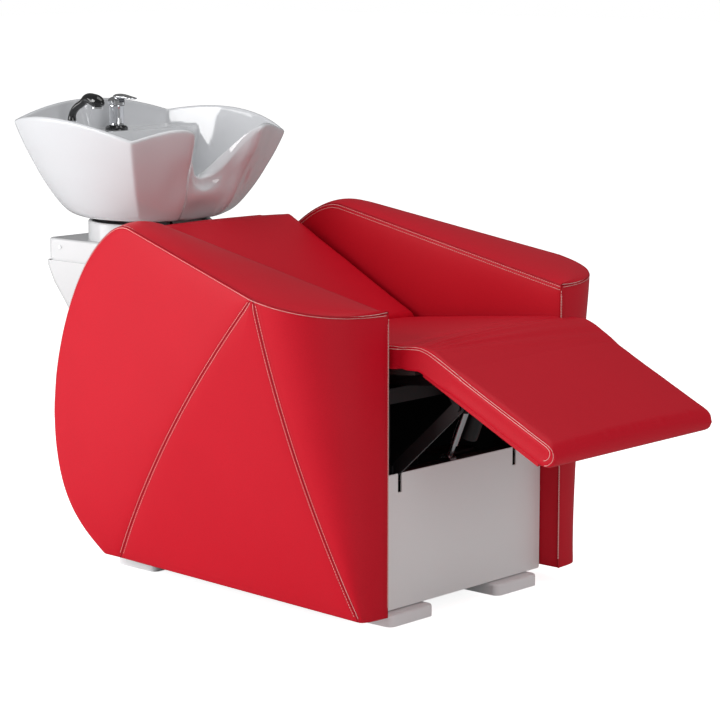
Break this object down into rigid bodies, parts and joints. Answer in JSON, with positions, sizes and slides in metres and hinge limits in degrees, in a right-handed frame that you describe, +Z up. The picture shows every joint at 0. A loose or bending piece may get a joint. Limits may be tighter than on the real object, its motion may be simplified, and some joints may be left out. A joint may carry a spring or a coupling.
{
  "type": "hair washing bed",
  "caption": "Reclined salon seat between two faceted upholstered side panels, with a folding legrest and a tilting ceramic basin with tap and handset on a pedestal.",
  "frame": {"origin": "on the floor, in the middle of the overall length and width", "axes": "+X across the seat to the sitter's left, +Y from the legrest to the basin, +Z up"},
  "size_m": [0.926, 1.4922, 0.9708],
  "materials": {
    "upholstery": "smooth satin vinyl, red",
    "plywood": "raw birch ply",
    "frame_steel": "black powder coat",
    "panel_paint": "light grey satin coat",
    "foot_plastic": "light grey moulded",
    "steel": "zinc plated",
    "chrome": "polished",
    "black_plastic": "black, fine grain",
    "gloss_black": "gloss black",
    "white_shell": "gloss white moulding",
    "ceramic": "white glaze"
  },
  "bodies": {
    "bed_frame": {"actuator_hanger": "frame_steel", "actuator_pin": "steel", "back_board": "plywood", "back_cross_member": "frame_steel", "back_cushion": "upholstery", "base_frame": "frame_steel", "basin_collar": "white_shell", "basin_column": "frame_steel", "control_box": "black_plastic", "cover_screws": "steel", "feet": "foot_plastic", "foot_screws": "steel", "front_panel": "panel_paint", "front_post_left": "frame_steel", "front_post_right": "frame_steel", "hinge_pins": "steel", "mains_inlet": "black_plastic", "panel_standoffs": "frame_steel", "pedestal_head": "white_shell", "pedestal_shell": "white_shell", "rear_panel": "black_plastic", "rear_post_left": "frame_steel", "rear_post_right": "frame_steel", "seat_cross_member": "frame_steel", "seat_cushion": "upholstery", "seat_pan": "plywood", "seat_rail_left": "frame_steel", "seat_rail_right": "frame_steel", "side_panel_left_board": "plywood", "side_panel_left_upholstery": "upholstery", "side_panel_right_board": "plywood", "side_panel_right_upholstery": "upholstery", "switch_bezel": "black_plastic", "tilt_pins": "steel", "waste_outlet": "foot_plastic", "water_inlets": "steel"},
    "legrest": {"legrest_cushion": "upholstery", "legrest_board": "plywood", "legrest_plates": "frame_steel", "arm_pins": "steel"},
    "stay_arms": {"stay_arm_left": "frame_steel", "stay_arm_right": "frame_steel", "cross_tube": "steel", "guide_pins": "steel"},
    "actuator": {"actuator_tube": "steel", "actuator_motor": "black_plastic"},
    "actuator_ram": {"actuator_rod": "steel"},
    "basin_unit": {"basin": "ceramic", "basin_plate": "frame_steel", "waste_strainer": "chrome", "waste_tail": "foot_plastic", "mixer_ring": "gloss_black", "mixer_body": "chrome", "handset_socket": "gloss_black"},
    "mixer_swivel": {"mixer_cap": "chrome"},
    "mixer_handle": {"mixer_lever": "chrome"},
    "handset": {"handset_collar": "chrome", "handset_grip": "gloss_black", "spray_plate": "chrome"},
    "switch": {"switch_rocker": "gloss_black"}
  },
  "joints": [
    {"name": "legrest_fold", "type": "hinge", "parent": "bed_frame", "child": "legrest", "pos_m": [0, -0.42685, 0.488], "axis": [1, 0, 0], "range_deg": [0, 64]},
    {"name": "arm_swing", "type": "hinge", "parent": "legrest", "child": "stay_arms", "pos_m": [0, -0.46285, 0.436], "axis": [1, 0, 0], "range_deg": [-83, 0]},
    {"name": "actuator_swing", "type": "hinge", "parent": "bed_frame", "child": "actuator", "pos_m": [0, -0.36085, 0.45], "axis": [1, 0, 0], "range_deg": [-4.1, 0]},
    {"name": "ram_slide", "type": "slide", "parent": "actuator", "child": "actuator_ram", "axis": [0, 0.3886, -0.9214], "range_m": [0, 0.0505]},
    {"name": "basin_tilt", "type": "hinge", "parent": "bed_frame", "child": "basin_unit", "pos_m": [0, 0.55015, 0.68], "axis": [1, 0, 0], "range_deg": [-3, 3]},
    {"name": "mixer_turn", "type": "hinge", "parent": "basin_unit", "child": "mixer_swivel", "pos_m": [0.03, 0.68515, 0.94], "axis": [0, 0, 1], "range_deg": [-45, 45]},
    {"name": "lever_lift", "type": "hinge", "parent": "mixer_swivel", "child": "mixer_handle", "pos_m": [0.03, 0.68515, 0.949], "axis": [-1, 0, 0], "range_deg": [0, 25]},
    {"name": "handset_pull", "type": "slide", "parent": "basin_unit", "child": "handset", "axis": [0, 0, 1], "range_m": [0, 0.06]},
    {"name": "switch_rock", "type": "hinge", "parent": "bed_frame", "child": "switch", "pos_m": [0, 0.72315, 0.638], "axis": [1, 0, 0], "range_deg": [-7, 7], "stiffness_Nm_per_rad": 0.05}
  ],
  "couplings": [
    {"joint": "arm_swing", "follows": "legrest_fold", "ratio": -1.295},
    {"joint": "actuator_swing", "follows": "legrest_fold", "ratio": -0.063},
    {"joint": "ram_slide", "follows": "legrest_fold", "m_per_rad": 0.04476}
  ]
}
